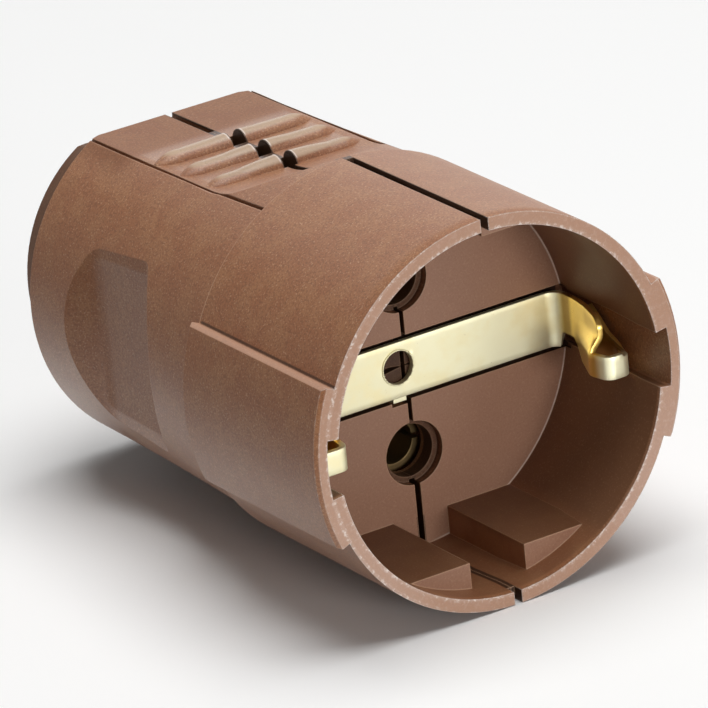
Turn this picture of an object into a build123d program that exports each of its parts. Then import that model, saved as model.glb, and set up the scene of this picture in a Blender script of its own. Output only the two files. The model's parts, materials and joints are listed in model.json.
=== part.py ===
from build123d import *
import os
from math import cos, radians, sin, sqrt

# Earthed coupling socket for a cord: a moulded housing in two half-shells that meet on
# the plane x = 0, with the contacts, terminals and cord clamp trapped between them.
# The recess opens at y = 0, y runs to the cord end and z is up. Millimetres throughout.

# Recess that takes the plug
recess_radius = 19.5
recess_land = 3.2
recess_draft_length = 5.0
recess_floor_radius = 19.8
recess_depth = 17.3
floor_thickness = 3.1

# Outside of the housing
rim_thickness = 1.4
collar_length = 25.1
shoulder_bevel = 0.6
body_front_radius = 20.4
body_middle_radius = 19.7
body_rear_radius = 19.4
body_length = 60.0
rear_edge_radius = 0.6
tail_step = 0.9
tail_length = 6.5
tail_taper = 2.4
tail_edge_radius = 1.0
wall = 2.2

# Raised pads at both sides of the mouth
pad_radius = 22.2
pad_half_angle = 23.4
pad_bevel = 0.4
notch_radius = 20.8
notch_half_angle = 8.8

# Thumb flats above and below, with their ribs
flat_front_height = 17.1
flat_rear_height = 16.65
flat_front = 33.5
ramp_blend = 12.0
edge_groove_inset = 0.06
edge_groove_width = 0.36
edge_groove_depth = 0.4
rib_count = 3
rib_first = 37.4
rib_pitch = 4.9
rib_rise = 1.1
rib_section_radius = 1.4
rib_root = 1.2
rib_half_length = 9.6
rib_window_length = 2.8
rib_window_width = 1.6

# Finger scoops at both sides
scoop_front = 34.9
scoop_length = 18.3
scoop_front_slope = 3.4
scoop_rear_slope = 4.6
scoop_depth = 2.95
scoop_front_blend = 1.5
scoop_rear_blend = 5.0

# Slits along the parting plane
rim_slit_width = 0.9
rim_slit_length = 24.4
rim_notch_length = 1.3
under_groove_depth = 0.5
floor_slit_width = 0.7
centre_slit_width = 0.5
flat_slit_width = 0.85
flat_slit_front = (32.5, 36.4)
flat_slit_rear = (51.4, 60.0)

# Guide lugs in the recess
lug_height = 16.4
lug_gap = 6.66
lug_front_lower = 3.3
lug_front_upper = 6.0

# Pin holes
pin_spacing = 19.0
pin_hole_radius = 2.85
pin_counterbore_radius = 3.45
pin_counterbore_depth = 1.0

# Earth bracket, one folded strip
strip_width = 6.0
strip_thickness = 0.7
strip_proud = 0.15
strip_groove_gap = 0.5
strip_shelf = 2.6
groove_depth = 1.6
bracket_clearance = 0.1
clip_wall_gap = 0.6
clip_arm_inset = 0.95
clip_bulge_right = 3.7
clip_bulge_left = 4.95
clip_bulge_y = 7.2
clip_front = 4.95
clip_tip = 11.6
tongue_top = -0.5
neck_bottom = -0.3
earth_hole_radius = 1.8
earth_hole_x = -1.05
earth_hole_z = 0.3
earth_ring_radius = 2.1
earth_ring_rise = 0.15
tab_x = -1.0
tab_width = 1.6
tab_end = 42.6

# Line and neutral contacts
sleeve_radius = 3.2
sleeve_bore = 2.35
sleeve_front_gap = 0.9
sleeve_length = 11.7
sleeve_slot = 0.6
spring_wire = 0.6
spring_width = 3.0
spring_place = 4.1
tongue_length = 7.6
tongue_width = 1.8
tongue_thickness = 0.7
tongue_seat = -1.4

# Terminals
block_length = 7.0
block_size = 6.8
block_gap = 1.3
wire_bore = 1.8
terminal_screw_radius = 1.4
terminal_head_radius = 2.5
terminal_head_height = 1.7
earth_block = (-1.0, 36.0, -2.2)
earth_block_size = 5.8

# Screws and nuts that hold the half-shells together
screw_radius = 1.5
screw_clearance = 0.15
screw_head_radius = 2.75
screw_head_height = 2.0
screw_tip = -7.6
nut_flats = 5.5
nut_thickness = 2.3
nut_face = -4.2
nut_fit = 0.1
nut_reach = 12.0
boss_radius = 2.7
front_screw = (30.0, 0.0)
front_screw_seat = 16.0
rear_screw_y = 47.0
rear_screw_z = 11.5
rear_screw_seat = 11.6

# Cord clamp and entry
cord_entry_radius = 4.5
cord_channel_radius = 4.1
clamp_y = 53.2
clamp_post_spacing = 15.2
clamp_post_radius = 2.8
clamp_seat = 1.0
clamp_bar_thickness = 5.0
clamp_bar_width = 5.0
clamp_screw_radius = 1.2
clamp_screw_depth = 7.0

# Fits between pieces, and ribs inside
slip = 0.1
rib_thickness = 1.6
saddle_places = (22.1, 31.2)
bed_place = 38.6
pin_radius = 1.0
pin_length = 1.8
pin_inset = 4.6
far = 60.0

# Sizes that follow from those above
collar_radius = recess_radius + rim_thickness
floor_back = recess_depth + floor_thickness
pin_z = pin_spacing / 2
total_length = body_length + tail_length
tail_front_radius = body_rear_radius - tail_step
tail_rear_radius = tail_front_radius - tail_taper
end_wall = total_length - 4.0
flat_edge = sqrt(body_rear_radius**2 - flat_rear_height**2)
flat_slope = (flat_rear_height - flat_front_height) / (body_length - flat_front)
strip_face = recess_depth - strip_proud
strip_middle = strip_face + strip_thickness / 2
strip_half = strip_width / 2
clip_return_x = notch_radius - clip_wall_gap - strip_thickness / 2
clip_arm_x = clip_return_x - clip_arm_inset
sleeve_front = floor_back + sleeve_front_gap
sleeve_end = sleeve_front + sleeve_length
block_front = sleeve_end + block_gap
bar_half = clamp_post_spacing / 2 + clamp_post_radius
right, left = 1, -1
line_side, neutral_side = 1, -1


# Plain building blocks

def block(x0, x1, y0, y1, z0, z1):
    size = Box(x1 - x0, y1 - y0, z1 - z0)
    return Pos((x0 + x1) / 2, (y0 + y1) / 2, (z0 + z1) / 2) * size


def rod_y(radius, y0, y1, x=0, z=0):
    return Pos(x, (y0 + y1) / 2, z) * Rot(90, 0, 0) * Cylinder(radius, y1 - y0)


def rod_x(radius, x0, x1, y, z):
    return Pos((x0 + x1) / 2, y, z) * Rot(0, 90, 0) * Cylinder(radius, x1 - x0)


def turned(*lines):
    # A closed outline of radius and y, turned about the socket's axis
    outline = Curve() + list(lines)
    return revolve(make_face(outline.edges()), Axis.Y)


def turned_outline(points):
    return turned(Polyline(*points, close=True))


def side_profile(points, half_width, x=0):
    # A prism along x from an outline of y and z
    face = Plane.YZ * make_face(Polyline(*points, close=True))
    return Pos(x, 0, 0) * extrude(face, half_width, both=True)


def sector(radius, y0, y1, half_angle):
    # A slice of a round bar about +X
    reach = radius / cos(radians(half_angle))
    edge = reach * sin(radians(half_angle))
    depth = reach * cos(radians(half_angle))
    outline = Polyline((0, 0), (depth, edge), (depth, -edge), close=True)
    wedge = Pos(0, y1, 0) * Rot(90, 0, 0) * extrude(make_face(outline), y1 - y0)
    return rod_y(radius, y0, y1) & wedge


def both_sides(shape):
    return shape + mirror(shape, about=Plane.YZ)


def above_and_below(shape):
    return shape + mirror(shape, about=Plane.XY)


def flat_height(y):
    return flat_front_height + flat_slope * (y - flat_front)


# Outside of the housing

def barrel():
    # The long gentle curve of the side runs from the shoulder to the rear edge
    front = (body_front_radius, collar_length + shoulder_bevel)
    middle = (body_middle_radius, (collar_length + body_length) / 2)
    rear = (body_rear_radius, body_length - rear_edge_radius)
    shoulder = (collar_radius, collar_length)
    rim = (collar_radius, 0)
    edge = (body_rear_radius - rear_edge_radius, body_length)
    step = (tail_front_radius, body_length)
    tail = (tail_rear_radius, total_length - tail_edge_radius)
    end = (tail_rear_radius - tail_edge_radius, total_length)
    return turned(
        Polyline((0, 0), rim, shoulder, front),
        ThreePointArc(front, middle, rear),
        Line(rear, edge),
        Polyline(edge, step, tail, end, (0, total_length), (0, 0)),
    )


def thumb_flat():
    # Everything above the flat and the ramp that climbs from it to the collar
    start = (collar_length - 0.3, collar_radius + 0.2)
    corner = (flat_front, flat_front_height)
    finish = (body_length, flat_rear_height)
    lower = FilletPolyline(start, corner, finish, radius=ramp_blend)
    drop = (tail_front_radius - tail_rear_radius) * 1.1
    tail_start = (body_length, flat_rear_height - tail_step)
    tail_end = (total_length + 1, flat_rear_height - tail_step - drop)
    upper = Polyline(finish, tail_start, tail_end, (tail_end[0], far), (start[0], far), start)
    face = Plane.YZ * make_face((Curve() + [lower, upper]).edges())
    return extrude(face, far, both=True)


def edge_groove():
    front = collar_length + 0.05
    deep = edge_groove_depth
    outline = [
        (front, flat_front_height - deep + 0.3),
        (flat_front, flat_front_height - deep),
        (body_length + 0.1, flat_rear_height - deep),
        (body_length + 0.1, far),
        (front, far),
    ]
    place = flat_edge - edge_groove_inset
    return both_sides(side_profile(outline, edge_groove_width / 2, place))


def thumb_rib(y):
    # A ring laid flat, so that the rib swells at the middle and dies out at its ends
    arc = (rib_half_length**2 + rib_rise**2) / (2 * rib_rise)
    ring = Rot(90, 0, 0) * Torus(arc - rib_section_radius, rib_section_radius)
    crest = flat_height(y) + rib_rise
    reach = rib_half_length + 0.4
    half = 2 * rib_section_radius
    keep = block(-reach, reach, y - half, y + half, crest - rib_rise - rib_root, crest + 1)
    return (Pos(0, y, crest - arc) * ring) & keep


def rib_places():
    return [rib_first + rib_pitch * n for n in range(rib_count)]


def scoop_cut(inset=0.0):
    # A steep front, a long floor and an easier rear slope, the same all the way up
    floor = body_middle_radius - scoop_depth - inset
    surface = body_middle_radius + 0.2 - inset
    front = scoop_front - inset * 0.6
    rear = scoop_front + scoop_length + inset * 0.6
    start, finish = (surface, front), (surface, rear)
    corners = [(floor, front + scoop_front_slope), (floor + 0.3, rear - scoop_rear_slope)]
    blends = [scoop_front_blend, scoop_rear_blend]
    curve = FilletPolyline(start, *corners, finish, radius=blends)
    closing = Polyline(finish, (far, rear), (far, front), start)
    face = make_face((Curve() + [curve, closing]).edges())
    return extrude(face, far, both=True)


def pad():
    shape = sector(pad_radius, 0, collar_length, pad_half_angle)
    outer = shape.edges().filter_by(lambda edge: edge_is_outer(edge, pad_radius))
    shape = chamfer(outer, pad_bevel)
    return shape - rod_y(recess_radius + 0.5, -1, collar_length + 1)


def edge_is_outer(edge, radius):
    middle = edge @ 0.5
    return sqrt(middle.X**2 + middle.Z**2) > radius - 0.01


# Inside of the housing

def recess():
    cone_end = recess_land + recess_draft_length
    return turned_outline([
        (0, -1),
        (recess_radius, -1),
        (recess_radius, recess_land),
        (recess_floor_radius, cone_end),
        (recess_floor_radius, recess_depth),
        (0, recess_depth),
    ])


def inner_space(inset, y0, y1):
    # The outside again, smaller by the inset and made of plain cones
    shape = turned_outline([
        (0, y0),
        (body_front_radius - inset, y0),
        (body_middle_radius - inset, (collar_length + body_length) / 2),
        (body_rear_radius - inset, body_length - rear_edge_radius),
        (tail_rear_radius - inset, y1),
        (0, y1),
    ])
    roof = [
        (0, flat_front_height - inset),
        (flat_front, flat_front_height - inset),
        (y1, flat_rear_height - inset - tail_step),
        (y1, far),
        (0, far),
    ]
    shape -= above_and_below(side_profile(roof, far))
    return shape - both_sides(scoop_cut(inset))


def lugs():
    ring = recess_floor_radius + 0.3
    keep_out = lug_gap / 2
    shape = Part()
    for up, front in ((1, lug_front_upper), (-1, lug_front_lower)):
        bar = rod_y(ring, front, recess_depth + 0.3)
        z0, z1 = sorted((up * lug_height, up * (ring + 1)))
        shape += bar & block(keep_out, ring, 0, far, z0, z1)
        shape += bar & block(-ring, -keep_out, 0, far, z0, z1)
    return shape


def clip_notches():
    return both_sides(sector(notch_radius, -1, recess_depth + groove_depth, notch_half_angle))


def slit(width, y0, y1, z0, z1):
    return above_and_below(block(-width / 2, width / 2, y0, y1, z0, z1))


def seam_slits():
    outside = collar_radius + 2
    half = rim_slit_width / 2
    cuts = block(-half, half, -1, rim_slit_length, recess_radius - 2, outside)
    cuts += block(-half, half, -1, rim_notch_length, -outside, 2 - recess_radius)
    under = collar_radius - under_groove_depth
    cuts += block(-half, half, -1, rim_slit_length, -outside, -under)
    hole_far = pin_z + pin_counterbore_radius - 0.3
    hole_near = pin_z - pin_counterbore_radius + 0.3
    through = (recess_depth - 1, floor_back + 1)
    cuts += slit(floor_slit_width, *through, hole_far, recess_floor_radius)
    cuts += slit(centre_slit_width, *through, 0, hole_near)
    inner = flat_rear_height - wall - tail_step - 0.2
    cuts += slit(flat_slit_width, *flat_slit_front, inner, far)
    cuts += slit(flat_slit_width, flat_slit_rear[0], body_length + 0.1, inner, far)
    for y in rib_places():
        half = rib_window_length / 2
        inner = flat_height(y) - wall - 0.8
        cuts += slit(rib_window_width, y - half, y + half, inner, far)
    return cuts


def pin_holes():
    shape = Part()
    for side in (line_side, neutral_side):
        z = side * pin_z
        counterbore_end = recess_depth + pin_counterbore_depth
        shape += rod_y(pin_hole_radius, recess_depth - 1, floor_back + 1, z=z)
        shape += rod_y(pin_counterbore_radius, recess_depth - 1, counterbore_end, z=z)
    return shape


def strip_groove():
    reach = clip_arm_x + strip_thickness / 2 + 0.6
    shelf_face = strip_face + strip_thickness + bracket_clearance
    half = strip_half + strip_groove_gap
    shape = block(-reach, reach, recess_depth - 1, shelf_face, -half, half)
    for up in (1, -1):
        z0, z1 = sorted((up * strip_shelf, up * half))
        shape += block(-reach, reach, recess_depth - 1, recess_depth + groove_depth, z0, z1)
    return shape + tab_space(recess_depth - 1, floor_back + 1)


def tab_space(y0, y1):
    gap = 0.3
    x0 = tab_x - tab_width / 2 - gap
    x1 = tab_x + tab_width / 2 + gap
    top = -strip_half + 0.1
    return block(x0, x1, y0, y1, top - strip_thickness - gap, top + gap)


def saddle_rib(y):
    # A bulkhead that holds both sleeves, open at the middle for the earth tab
    inner = body_middle_radius - wall + 0.4
    plate = rod_y(inner, y, y + rib_thickness)
    plate -= block(-slip, slip, 0, far, -far, far)
    for side in (line_side, neutral_side):
        plate -= rod_y(sleeve_radius + slip, 0, far, z=side * pin_z)
    return plate - tab_space(0, far)


def bed_rib(side):
    # A low bulkhead under the terminal blocks of one half-shell
    inner = body_middle_radius - wall + 0.4
    plate = rod_y(inner, bed_place, bed_place + rib_thickness)
    reach = {left: block_size / 2 + slip, right: block_size / 2 + terminal_head_height + 0.8}
    depth = reach[side]
    x0, x1 = sorted((-side * far, side * depth))
    plate -= block(x0, x1, 0, far, -far, far)
    room = earth_block_size / 2 + slip
    x, y, z = earth_block
    return plate - block(x - room - 0.5, x + room + 2, 0, far, z - room, z + room)


def inside_only(shape):
    # Ends a rib or boss halfway through the outer wall
    return shape & inner_space(wall / 2, floor_back - 0.5, end_wall + 1)


# Where the three housing screws go: y, z, seat of the head, side the nut slides in from

screw_places = {
    "front": (front_screw[0], front_screw[1], front_screw_seat, 1),
    "upper": (rear_screw_y, rear_screw_z, rear_screw_seat, -1),
    "lower": (rear_screw_y, -rear_screw_z, rear_screw_seat, -1),
}


def left_boss(y, z):
    # Slender towards the parting plane, with a thick root that holds the nut
    root_top = nut_face + 1.0
    half = nut_flats / 2 + 0.95
    shape = block(-far / 2, root_top, y - half - 0.4, y + half + 0.4, z - half, z + half)
    return shape + rod_x(boss_radius, root_top - 1, 0, y, z)


def nut_cut(y, z, opening):
    # The screw's hole and the slot that the nut slides into, open on one side
    hole = rod_x(screw_radius + screw_clearance, screw_tip - 1, 1, y, z)
    slot = nut_flats / 2 + nut_fit
    y0, y1 = sorted((y - opening * (slot + 0.5), y + opening * nut_reach))
    x0 = nut_face - nut_thickness - nut_fit
    return hole + block(x0, nut_face + nut_fit, y0, y1, z - slot, z + slot)


def right_boss(y, z, seat):
    shape = rod_x(screw_head_radius + 1.5, seat - 1.6, far / 2, y, z)
    shape += rod_x(boss_radius, 0, seat, y, z)
    return shape


def head_cut(y, z, seat):
    hole = rod_x(screw_radius + screw_clearance, -1, far / 2, y, z)
    return hole + rod_x(screw_head_radius + 0.3, seat, far / 2, y, z)


def clamp_post_places():
    return [side * clamp_post_spacing / 2 for side in (1, -1)]


def clamp_posts():
    shape = Part()
    for z in clamp_post_places():
        post = rod_x(clamp_post_radius, -far / 2, clamp_seat, clamp_y, z)
        shape += post - rod_x(clamp_screw_radius + slip, -clamp_screw_depth, far, clamp_y, z)
    return shape


def cord_cradle():
    # Two bars that the cord lies on, across the left half-shell
    shape = Part()
    low = clamp_y - clamp_bar_width / 2 - rib_thickness
    half = clamp_post_spacing / 2 + 0.6
    for y in (low, clamp_y + clamp_bar_width / 2):
        shape += block(-far / 2, -0.3, y, y + rib_thickness, -half, half)
    return shape - rod_y(cord_channel_radius, 0, far)


def locating_places():
    return [side * (cord_entry_radius + pin_inset) for side in (1, -1)]


def shell_blank():
    outside = barrel()
    outside -= above_and_below(thumb_flat())
    ribs = Part()
    for y in rib_places():
        ribs += thumb_rib(y)
    outside += above_and_below(ribs)
    outside -= above_and_below(edge_groove())
    outside -= both_sides(scoop_cut())
    outside += both_sides(pad())
    hollow = outside - recess() - inner_space(wall, floor_back, end_wall)
    hollow += lugs()
    hollow -= clip_notches() + strip_groove() + pin_holes()
    return hollow - rod_y(cord_entry_radius, end_wall - 1, total_length + 1)


def half_shell(blank, side):
    keep = Keep.TOP if side == right else Keep.BOTTOM
    inner = bed_rib(side)
    for y in saddle_places:
        inner += saddle_rib(y)
    for y, z, seat, opening in screw_places.values():
        inner += right_boss(y, z, seat) if side == right else left_boss(y, z)
    if side == left:
        inner += cord_cradle()
    inner = split(inside_only(inner), Plane.YZ, keep=keep)
    if side == left:
        inner += inside_only(clamp_posts())
    shape = split(blank, Plane.YZ, keep=keep) + inner
    y_pin = (end_wall + total_length) / 2
    for z in locating_places():
        if side == right:
            shape += rod_x(pin_radius, -pin_length, 1, y_pin, z)
        else:
            shape -= rod_x(pin_radius + slip, -pin_length - slip, 1, y_pin, z)
    for y, z, seat, opening in screw_places.values():
        shape -= head_cut(y, z, seat) if side == right else nut_cut(y, z, opening)
    return shape - seam_slits()


# Earth bracket

def clip_path(bulge):
    # x and y of the strip's middle line with the radius of each bend, seen from above
    inner = clip_return_x - bulge
    return [
        ((0, strip_middle), 0),
        ((clip_arm_x, strip_middle), 1.5),
        ((clip_arm_x - 0.2, 13.4), 6.0),
        ((inner, clip_bulge_y), 1.4),
        ((inner + 0.45, clip_front), 0.9),
        ((clip_return_x - 0.9, clip_front), 0.9),
        ((clip_return_x - 0.1, 8.2), 4.0),
        ((clip_return_x, clip_tip), 0),
    ]


def bracket_half(bulge):
    points = [point for point, radius in clip_path(bulge)]
    radii = [radius for point, radius in clip_path(bulge)][1:-1]
    path = FilletPolyline(*points, radius=radii)
    start = Plane(origin=(0, strip_middle, 0), x_dir=(0, 1, 0), z_dir=(1, 0, 0))
    section = start * Rectangle(strip_thickness, strip_width)
    shape = sweep(section, path=path)
    return shape - clip_trim()


def clip_trim():
    # What the flat blank lacks: the neck's cut-out, and all above the narrow tongue
    over = strip_half + 1
    inner = clip_arm_x - 1.7
    neck = block(inner, far, 14.0, strip_face - 0.3, -over, neck_bottom)
    front = side_profile([
        (0, tongue_top),
        (clip_bulge_y - 0.2, tongue_top),
        (clip_bulge_y + 0.2, 1.6),
        (clip_bulge_y + 1.2, strip_half),
        (clip_bulge_y + 1.2, over),
        (0, over),
    ], far)
    outer = side_profile([
        (0, tongue_top),
        (clip_front + 1.0, tongue_top),
        (clip_tip + 1, 1.8),
        (clip_tip + 1, over),
        (0, over),
    ], far)
    strand = Polyline(
        (clip_return_x - 1.9, 0),
        (clip_return_x - 1.9, clip_front + 1),
        (clip_return_x - 0.6, clip_tip + 1),
        (far, clip_tip + 1),
        (far, 0),
        close=True,
    )
    return neck + front + (outer & extrude(make_face(strand), far, both=True))


def earth_bracket():
    shape = bracket_half(clip_bulge_right)
    shape += mirror(bracket_half(clip_bulge_left), about=Plane.YZ)
    ring_top = strip_face - earth_ring_rise
    x, z = earth_hole_x, earth_hole_z
    shape += rod_y(earth_ring_radius, ring_top, strip_face + 0.1, x=x, z=z)
    shape -= rod_y(earth_hole_radius, 0, far, x=x, z=z)
    low = -strip_half + 0.1
    x0, x1 = tab_x - tab_width / 2, tab_x + tab_width / 2
    return shape + block(x0, x1, strip_face, tab_end, low - strip_thickness, low)


# Contacts and terminals

def contact(side):
    z = side * pin_z
    shape = rod_y(sleeve_radius, sleeve_front, sleeve_end, z=z)
    shape -= rod_y(sleeve_bore, sleeve_front - 1, sleeve_end - 1.0, z=z)
    slot_end = sleeve_front + 0.75 * sleeve_length
    half = sleeve_slot / 2
    over = sleeve_radius + 1
    shape -= block(-over, over, 0, slot_end, z - half, z + half)
    top = tongue_seat + tongue_thickness
    width = tongue_width / 2
    end = block_front + tongue_length - 1.0
    return shape + block(tongue_seat, top, sleeve_end - 0.5, end, z - width, z + width)


def contact_spring(side):
    z = side * pin_z
    y0 = sleeve_front + spring_place
    inner = sleeve_radius + slip / 2
    ring = rod_y(inner + spring_wire, y0, y0 + spring_width, z=z)
    ring -= rod_y(inner, 0, far, z=z)
    return ring - block(0, far, 0, far, z - 1.2, z + 1.2)


def terminal_block(x, y, z, size):
    half = size / 2
    shape = block(x - half, x + half, y, y + block_length, z - half, z + half)
    shape = chamfer(shape.edges().filter_by(Axis.Y), 0.5)
    shape -= rod_y(wire_bore, 0, far, x=x, z=z)
    return shape - rod_x(terminal_screw_radius + slip, x, far, y + block_length / 2, z)


def terminal_screw(x, y, z, size, bite):
    middle = y + block_length / 2
    seat = x + size / 2 + 0.2
    shape = rod_x(terminal_screw_radius, x + bite + slip, seat, middle, z)
    shape += rod_x(terminal_head_radius, seat, seat + terminal_head_height, middle, z)
    return shape - screw_slot(seat + terminal_head_height, middle, z, terminal_head_radius)


def screw_slot(face, y, z, radius):
    return block(face - 0.9, face + 1, y - radius - 1, y + radius + 1, z - 0.4, z + 0.4)


# Fasteners and clamp

def housing_screw(y, z, seat):
    shape = rod_x(screw_radius, screw_tip, seat + 0.2, y, z)
    head = rod_x(screw_head_radius, seat, seat + screw_head_height, y, z)
    head = chamfer(head.edges().group_by(Axis.X)[-1], 0.5)
    return shape + head - screw_slot(seat + screw_head_height, y, z, screw_head_radius)


def housing_nut(y, z):
    side = nut_flats / sqrt(3)
    hexagon = Plane.YZ * RegularPolygon(side, 6)
    shape = Pos(nut_face - nut_thickness, y, z) * extrude(hexagon, nut_thickness)
    return shape - rod_x(screw_radius + slip / 2, -far, far, y, z)


def cord_clamp_bar():
    top = clamp_seat + clamp_bar_thickness
    half = clamp_bar_width / 2
    shape = block(clamp_seat, top, clamp_y - half, clamp_y + half, -bar_half, bar_half)
    shape = fillet(shape.edges().filter_by(Axis.X), 1.5)
    shape -= rod_y(cord_channel_radius, 0, far)
    for z in clamp_post_places():
        shape -= rod_x(clamp_screw_radius + 0.2, -far, far, clamp_y, z)
    return shape


def clamp_screw(z):
    seat = clamp_seat + clamp_bar_thickness
    shape = rod_x(clamp_screw_radius, 0.6 - clamp_screw_depth, seat, clamp_y, z)
    shape += rod_x(clamp_screw_radius * 2, seat, seat + 1.5, clamp_y, z)
    return shape - screw_slot(seat + 1.5, clamp_y, z, clamp_screw_radius * 2)


def nodes():
    blank = shell_blank()
    yield "housing_left", half_shell(blank, left)
    yield "housing_right", half_shell(blank, right)
    yield "earth_bracket", earth_bracket()
    for name, side in (("line", line_side), ("neutral", neutral_side)):
        place = (0, block_front, side * pin_z, block_size)
        yield name + "_contact", contact(side)
        yield name + "_contact_spring", contact_spring(side)
        yield name + "_terminal_block", terminal_block(*place)
        bite = tongue_seat + tongue_thickness
        yield name + "_terminal_screw", terminal_screw(*place, bite)
    place = (*earth_block, earth_block_size)
    yield "earth_terminal_block", terminal_block(*place)
    yield "earth_terminal_screw", terminal_screw(*place, tab_width / 2)
    for name, (y, z, seat, opening) in screw_places.items():
        yield "housing_screw_" + name, housing_screw(y, z, seat)
        yield "housing_nut_" + name, housing_nut(y, z)
    yield "cord_clamp_bar", cord_clamp_bar()
    for name, z in zip(("upper", "lower"), clamp_post_places()):
        yield "clamp_screw_" + name, clamp_screw(z)


os.makedirs("parts", exist_ok=True)
for name, shape in nodes():
    export_step(shape, "parts/" + name + ".step")
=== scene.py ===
import json
from math import cos, pi, radians, sin

import bmesh
import bpy
from mathutils import Matrix, Vector


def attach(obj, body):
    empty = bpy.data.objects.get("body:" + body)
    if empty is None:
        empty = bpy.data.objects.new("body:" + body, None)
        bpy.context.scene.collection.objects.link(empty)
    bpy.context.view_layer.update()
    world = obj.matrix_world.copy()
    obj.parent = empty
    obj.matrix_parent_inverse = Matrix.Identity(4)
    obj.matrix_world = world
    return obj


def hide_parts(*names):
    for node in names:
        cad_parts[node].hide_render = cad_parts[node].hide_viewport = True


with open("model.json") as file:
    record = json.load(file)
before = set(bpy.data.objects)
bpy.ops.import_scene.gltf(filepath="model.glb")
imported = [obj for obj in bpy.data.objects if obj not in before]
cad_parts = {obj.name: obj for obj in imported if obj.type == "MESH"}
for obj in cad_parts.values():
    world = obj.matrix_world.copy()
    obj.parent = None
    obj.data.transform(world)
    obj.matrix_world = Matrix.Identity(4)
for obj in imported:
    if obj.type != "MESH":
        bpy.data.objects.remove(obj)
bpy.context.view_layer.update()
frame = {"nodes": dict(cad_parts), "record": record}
print("frame loaded")

mm = 0.001


# Expressions on node sockets, for the materials and for the geometry trees

class Wire:
    def __init__(self, tree, socket=None):
        self.tree = tree
        self.socket = socket

    def node(self, kind, settings=None, sockets=None, out=0):
        made = self.tree.nodes.new(kind)
        for name, value in (settings or {}).items():
            setattr(made, name, value)
        for name, value in (sockets or {}).items():
            plug = made.inputs[name]
            if isinstance(value, Wire):
                self.tree.links.new(value.socket, plug)
            else:
                plug.default_value = value
        return Wire(self.tree, made.outputs[out])

    def maths(self, operation, *values):
        return self.node("ShaderNodeMath", {"operation": operation}, dict(enumerate(values)))

    def __add__(self, other):
        return self.maths("ADD", self, other)

    def __sub__(self, other):
        return self.maths("SUBTRACT", self, other)

    def __rsub__(self, other):
        return self.maths("SUBTRACT", other, self)

    def __mul__(self, other):
        return self.maths("MULTIPLY", self, other)

    def __truediv__(self, other):
        return self.maths("DIVIDE", self, other)

    def __abs__(self):
        return self.maths("ABSOLUTE", self)

    __radd__ = __add__
    __rmul__ = __mul__

    def ramp(self, low, high):
        # 0 at low and 1 at high, with soft ends; falls where low is above high
        sockets = {"Value": self, "From Min": min(low, high), "From Max": max(low, high)}
        rise = self.node("ShaderNodeMapRange", {"interpolation_type": "SMOOTHSTEP"}, sockets)
        return rise if low < high else 1 - rise

    def between(self, low, high, soft):
        # 1 from low to high, with ends as wide as twice the soft length
        return self.ramp(low - soft, low + soft) * self.ramp(high + soft, high - soft)

    def blend(self, first, second):
        # Colours mixed by this mask
        settings = {"data_type": "RGBA", "clamp_factor": True}
        return self.node("ShaderNodeMix", settings, {0: self, 6: first, 7: second}, out=2)


def strongest(first, *others):
    # The strongest of several masks
    for other in others:
        first = first.maths("MAXIMUM", first, other)
    return first


def distance(a, b):
    return a.maths("SQRT", a * a + b * b)


def toLinear(red, green, blue):
    # Screen colour out of 255 to the shader's linear one
    def channel(value):
        value /= 255
        return value / 12.92 if value <= 0.04045 else ((value + 0.055) / 1.055) ** 2.4
    return (channel(red), channel(green), channel(blue), 1.0)


class Finish:
    # A material with the patterns that all of this object's finishes start from
    def __init__(self, name, edgeRadius, edgeContrast=(0.005, 0.1)):
        self.material = bpy.data.materials.new(name)
        self.material.use_nodes = True
        tree = self.material.node_tree
        self.shader = tree.nodes["Principled BSDF"]
        self.wire = Wire(tree)
        self.place = self.wire.node("ShaderNodeTexCoord", out=3)
        axes = {"Vector": self.place}
        self.x, self.y, self.z = (
            self.wire.node("ShaderNodeSeparateXYZ", {}, axes, out=i) for i in range(3))
        self.soft = self.wire.node(
            "ShaderNodeBevel", {"samples": 6}, {"Radius": edgeRadius})
        normal = self.wire.node("ShaderNodeNewGeometry", out=1)
        self.faceY, self.faceZ = (
            self.wire.node("ShaderNodeSeparateXYZ", {}, {"Vector": normal}, out=i)
            for i in (1, 2))
        turned = {0: self.soft, 1: normal}
        dot = self.wire.node(
            "ShaderNodeVectorMath", {"operation": "DOT_PRODUCT"}, turned, out=1)
        self.edge = (1 - dot).ramp(*edgeContrast)

    def noise(self, size, detail=2.0, roughness=0.5, stretch=None):
        place = self.place
        if stretch:
            place = self.wire.node("ShaderNodeMapping", {}, {"Vector": place, "Scale": stretch})
        return self.wire.node("ShaderNodeTexNoise", {}, {
            "Vector": place, "Scale": 1 / size, "Detail": detail, "Roughness": roughness})

    def drive(self, socketName, value):
        self.wire.tree.links.new(value.socket, self.shader.inputs[socketName])

    def bump(self, height, depth, strength=1.0):
        self.drive("Normal", self.wire.node("ShaderNodeBump", {}, {
            "Strength": strength, "Distance": depth, "Height": height, "Normal": self.soft}))


# Brown moulded plastic of the housing and the clamp bar. A mask is a list of soft steps, each
# along one axis from the first place to the second, in mm from the middle of the mouth: x and z
# count alike to both sides, sideways and upright do not, reach is the distance from the axis.

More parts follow.
